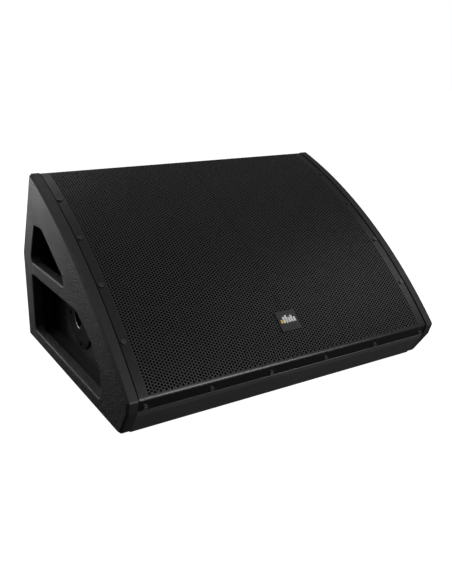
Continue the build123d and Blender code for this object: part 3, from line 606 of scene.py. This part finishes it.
def soft_ring(node, section, material):
    """A turned flexible ring in sectors, which take the place of the part of this name."""
    turn = 2 * pi / SECTORS
    for sector in range(SECTORS):
        angles = [turn * (sector + step / SECTOR_STEPS) for step in range(SECTOR_STEPS + 1)]
        verts = [DRIVER @ Vector((r * cos(a), r * sin(a), h)) for a in angles for r, h in section]
        size = len(section)
        faces = [
            (i * size + k, i * size + (k + 1) % size, (i + 1) * size + (k + 1) % size, (i + 1) * size + k)
            for i in range(SECTOR_STEPS) for k in range(size)
        ]
        mesh = bpy.data.meshes.new(node)
        mesh.from_pydata(verts, [], faces)
        mesh.update()
        mesh.shade_smooth()
        piece = new_object(f"{node}_sector_{sector + 1:02d}", mesh)
        coat(piece, material)
        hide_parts(node)
        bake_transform(piece)


# Section of the bead, as (radius, height above the flange), and its corners round the bore.
LIP = ((0.0180, 0.0), (0.0182, 0.0008), (0.0190, 0.0012), (0.0199, 0.0008), (0.0203, 0.0))
LIP_SIDES = 64


def socket_lip():
    """Bright bead round the mouth of the pole socket's bore."""
    verts, faces = [], []
    for i in range(LIP_SIDES):
        y_way, z_way = cos(2 * pi * i / LIP_SIDES), sin(2 * pi * i / LIP_SIDES)
        for r, rise in LIP:
            verts.append((SOCKET_FACE - rise, SOCKET_AXIS[0] + r * y_way, SOCKET_AXIS[1] + r * z_way))
    size = len(LIP)
    for i in range(LIP_SIDES):
        after = (i + 1) % LIP_SIDES
        for k in range(size):
            next_k = (k + 1) % size
            faces.append((i * size + k, after * size + k, after * size + next_k, i * size + next_k))
    mesh = bpy.data.meshes.new("pole_socket_lip")
    mesh.from_pydata(verts, [], faces)
    mesh.update()
    piece = new_object("pole_socket_lip", mesh)
    mesh.shade_smooth()
    coat(piece, CHROME)
    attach(piece, "cabinet")


socket_lip()

ARRIS = (-0.2652, 0.0527)  # just under the flange's lower edge, on the front panel
ARRIS_RADIUS = 0.0010
ARRIS_SIDES = 12


def panel_arris():
    """Rounded upper edge of the front panel, along the flange's lower edge, in paint lighter than the
    panel's: a painted highlight line.
    """
    half = WIDTH / 2 - CHEEK
    verts = []
    for x in (-half, half):
        for k in range(ARRIS_SIDES):
            around = 2 * pi * k / ARRIS_SIDES
            verts.append((x, ARRIS[0] + ARRIS_RADIUS * cos(around), ARRIS[1] + ARRIS_RADIUS * sin(around)))
    faces = [tuple(range(ARRIS_SIDES))[::-1], tuple(range(ARRIS_SIDES, 2 * ARRIS_SIDES))]
    for k in range(ARRIS_SIDES):
        after = (k + 1) % ARRIS_SIDES
        faces.append((k, after, ARRIS_SIDES + after, ARRIS_SIDES + k))
    mesh = bpy.data.meshes.new("front_panel_arris")
    mesh.from_pydata(verts, [], faces)
    mesh.update()
    for face in mesh.polygons:
        face.use_smooth = len(face.vertices) == 4
    piece = new_object("front_panel_arris", mesh)
    coat(piece, ARRIS_HIGHLIGHT_PAINT)
    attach(piece, "cabinet")


panel_arris()


def roll(base, height, low, high, steps=10):
    """Points of a half roll between two radii that rises from its base, as (radius, height)."""
    middle, reach = (low + high) / 2, (high - low) / 2
    angles = [pi * i / steps for i in range(steps + 1)]
    return [(middle - reach * cos(a), base + height * sin(a)) for a in angles]


ROLL_HEIGHT, CLOTH = 0.006, 0.001
SURROUND_IN, SURROUND_OUT = 0.154, 0.178
cloth_top = CONE_REST + CLOTH
surround_top = [
    (SURROUND_IN, cloth_top), *roll(cloth_top, ROLL_HEIGHT, 0.156, 0.170), (SURROUND_OUT, cloth_top)
]
surround_under = [
    (SURROUND_OUT, CONE_REST), *roll(CONE_REST, ROLL_HEIGHT, 0.157, 0.169)[::-1], (SURROUND_IN, CONE_REST)
]
soft_ring("woofer_surround", surround_top + surround_under, SURROUND)

SPIDER_STEPS = 8 * SPIDER_WAVES
spider_top = [
    (SPIDER_IN + (SPIDER_EDGE - SPIDER_IN) * i / SPIDER_STEPS,
     SPIDER_HEIGHT + 0.00105 - 0.00075 * cos(2 * pi * SPIDER_WAVES * i / SPIDER_STEPS))
    for i in range(SPIDER_STEPS + 1)
] + [(SPIDER_OUT, SPIDER_HEIGHT + 0.0003)]
spider_under = [(r, h - 0.0008) for r, h in reversed(spider_top)]
soft_ring("woofer_spider", spider_top + spider_under, SPIDER)

# ---------------------------------------------------------------- badge emblem
badge_low, badge_high = (Vector(corner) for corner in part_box("badge"))
badge_centre = (badge_low + badge_high) / 2
BADGE_ALONG = (badge_centre.y - NOSE[0]) * COS + (badge_centre.z - NOSE[1]) * SIN
BADGE_TOP = 0.0018  # badge's face above the grille
badge_frame = bow_frame(BADGE_ALONG, PROUD, badge_centre.x) @ Matrix.Translation((0, 0, BADGE_TOP))
BAR_WIDTH, BAR_STEP, BAR_RISE = 0.0040, 0.0052, 0.0003
BAR_HEIGHTS = (0.0070, 0.0115, 0.0140, 0.0095, 0.0125, 0.0085)
BARS_LEFT, BARS_FOOT = -0.0152, -0.0035


def level_bars(name, first, last, material):
    """Raised bars of a plain level meter on the badge."""
    bm = bmesh.new()
    for i in range(first, last):
        x0, y0 = BARS_LEFT + i * BAR_STEP, BARS_FOOT
        x1, y1 = x0 + BAR_WIDTH, y0 + BAR_HEIGHTS[i]
        rings = []
        for d, z in ((0, 0), (0, BAR_RISE * 0.6), (BAR_RISE * 0.5, BAR_RISE)):
            square = ((x0 + d, y0 + d), (x1 - d, y0 + d), (x1 - d, y1 - d), (x0 + d, y1 - d))
            rings.append([bm.verts.new((x, y, z)) for x, y in square])
        for lower, upper in zip(rings, rings[1:]):
            for k in range(4):
                after = (k + 1) % 4
                bm.faces.new((lower[k], lower[after], upper[after], upper[k]))
        bm.faces.new(rings[-1])
    mesh = bpy.data.meshes.new(name)
    bm.to_mesh(mesh)
    bm.free()
    mesh.transform(badge_frame)
    piece = new_object(name, mesh)
    coat(piece, material)
    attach(piece, "cabinet")


BADGE_BLACK = moulded("badge_black", (0.010, 0.010, 0.011), (0.016, 0.016, 0.017), (0.18, 0.28))
EMBLEM_PALE = moulded("emblem_pale", (0.62, 0.62, 0.60), (0.74, 0.74, 0.72), (0.3, 0.4))
EMBLEM_GOLD = moulded("emblem_gold", (0.55, 0.38, 0.05), (0.66, 0.47, 0.08), (0.3, 0.4))
coat(NODES["badge"], BADGE_BLACK)
level_bars("emblem_bars_gold", 0, 1, EMBLEM_GOLD)
level_bars("emblem_bars_pale", 1, len(BAR_HEIGHTS), EMBLEM_PALE)

# ---------------------------------------------------------------- floor, light and camera
floor_mesh = bpy.data.meshes.new("floor")
FLOOR_SIZE = 30.0
floor_mesh.from_pydata(
    [(x * FLOOR_SIZE, y * FLOOR_SIZE, 0) for x, y in ((-1, -1), (1, -1), (1, 1), (-1, 1))],
    [], [(0, 1, 2, 3)]
)
floor = new_object("floor", floor_mesh)
floor_material = bpy.data.materials.new("pale_floor")
floor_material.use_nodes = True
floor_tree = floor_material.node_tree
floor_tree.nodes.clear()
output = floor_tree.nodes.new("ShaderNodeOutputMaterial")
mix = floor_tree.nodes.new("ShaderNodeMixShader")
seen = floor_tree.nodes.new("ShaderNodeAddShader")
glow = floor_tree.nodes.new("ShaderNodeEmission")
pale = floor_tree.nodes.new("ShaderNodeBsdfDiffuse")
bounce = floor_tree.nodes.new("ShaderNodeBsdfDiffuse")
ray = floor_tree.nodes.new("ShaderNodeLightPath")
glow.inputs["Strength"].default_value = 0.97
pale.inputs["Color"].default_value = (0.5, 0.5, 0.5, 1)
bounce.inputs["Color"].default_value = (0.05, 0.05, 0.05, 1)
floor_tree.links.new(glow.outputs[0], seen.inputs[0])
floor_tree.links.new(pale.outputs[0], seen.inputs[1])
floor_tree.links.new(ray.outputs["Is Camera Ray"], mix.inputs["Fac"])
floor_tree.links.new(bounce.outputs[0], mix.inputs[1])
floor_tree.links.new(seen.outputs[0], mix.inputs[2])
floor_tree.links.new(mix.outputs[0], output.inputs["Surface"])
coat(floor, floor_material)

scene = bpy.context.scene
scene.view_settings.view_transform = "Standard"
world = bpy.data.worlds.new("studio")
scene.world = world
world.use_nodes = True
sky = world.node_tree
backdrop = sky.nodes["Background"]
backdrop.inputs["Color"].default_value = (1, 1, 1, 1)
room = sky.nodes.new("ShaderNodeBackground")
room.inputs["Color"].default_value = (0.95, 0.97, 1.0, 1)
room.inputs["Strength"].default_value = 0.17
sky_mix = sky.nodes.new("ShaderNodeMixShader")
sky_ray = sky.nodes.new("ShaderNodeLightPath")
sky.links.new(sky_ray.outputs["Is Camera Ray"], sky_mix.inputs["Fac"])
sky.links.new(room.outputs[0], sky_mix.inputs[1])
sky.links.new(backdrop.outputs[0], sky_mix.inputs[2])
sky.links.new(sky_mix.outputs[0], sky.nodes["World Output"].inputs["Surface"])


def soft_box(name, place, target, size, power):
    """A rectangular studio light aimed at a point."""
    lamp = bpy.data.lights.new(name, "AREA")
    lamp.shape = "RECTANGLE"
    lamp.size, lamp.size_y = size
    lamp.energy = power
    obj = bpy.data.objects.new(name, lamp)
    bpy.context.collection.objects.link(obj)
    obj.location = place
    aim = Vector(target) - Vector(place)
    obj.rotation_euler = aim.to_track_quat("-Z", "Y").to_euler()


soft_box("backdrop", (-1.0, 1.9, 0.42), (-0.3, 0.1, 0.2), (1.8, 1.1), 13.5)
soft_box("front_strip", (0.52, -1.7, 0.16), (0.0, -0.28, 0.07), (0.8, 0.75), 18)
soft_box("front_tall", (0.35, -1.55, 0.95), (-0.1, -0.27, 0.08), (0.6, 1.0), 3.0)
soft_box("upper_left", (-1.7, 0.2, 1.5), (-0.3, 0.0, 0.2), (1.0, 1.0), 3.6)
soft_box("upper_right", (1.5, -0.7, 1.6), (0.25, -0.1, 0.2), (0.9, 0.9), 3.0)
soft_box("rear_top", (-0.2, 1.1, 1.5), (-0.2, 0.1, 0.3), (1.0, 0.6), 1.3)
soft_box("ceiling", (0.0, 0.2, 3.0), (0.0, 0.0, 0.2), (4.0, 4.0), 5)

YAW, PITCH_DOWN, ROLL = radians(30.91), radians(19.33), radians(-0.8)
forward = Vector((sin(YAW) * cos(PITCH_DOWN), cos(YAW) * cos(PITCH_DOWN), -sin(PITCH_DOWN)))
level = Vector((cos(YAW), -sin(YAW), 0))
upright = level.cross(forward)
right = level * cos(ROLL) + upright * sin(ROLL)
up = upright * cos(ROLL) - level * sin(ROLL)
camera_data = bpy.data.cameras.new("camera")
camera_data.sensor_width = 36.0
camera_data.lens = 40.25
camera_data.shift_x, camera_data.shift_y = -0.0127, 0.0361
camera = bpy.data.objects.new("camera", camera_data)
bpy.context.collection.objects.link(camera)
camera.matrix_world = Matrix(
    (
        (right.x, up.x, -forward.x, -0.6087),
        (right.y, up.y, -forward.y, -1.0736),
        (right.z, up.z, -forward.z, 0.5052),
        (0, 0, 0, 1),
    )
)
scene.camera = camera
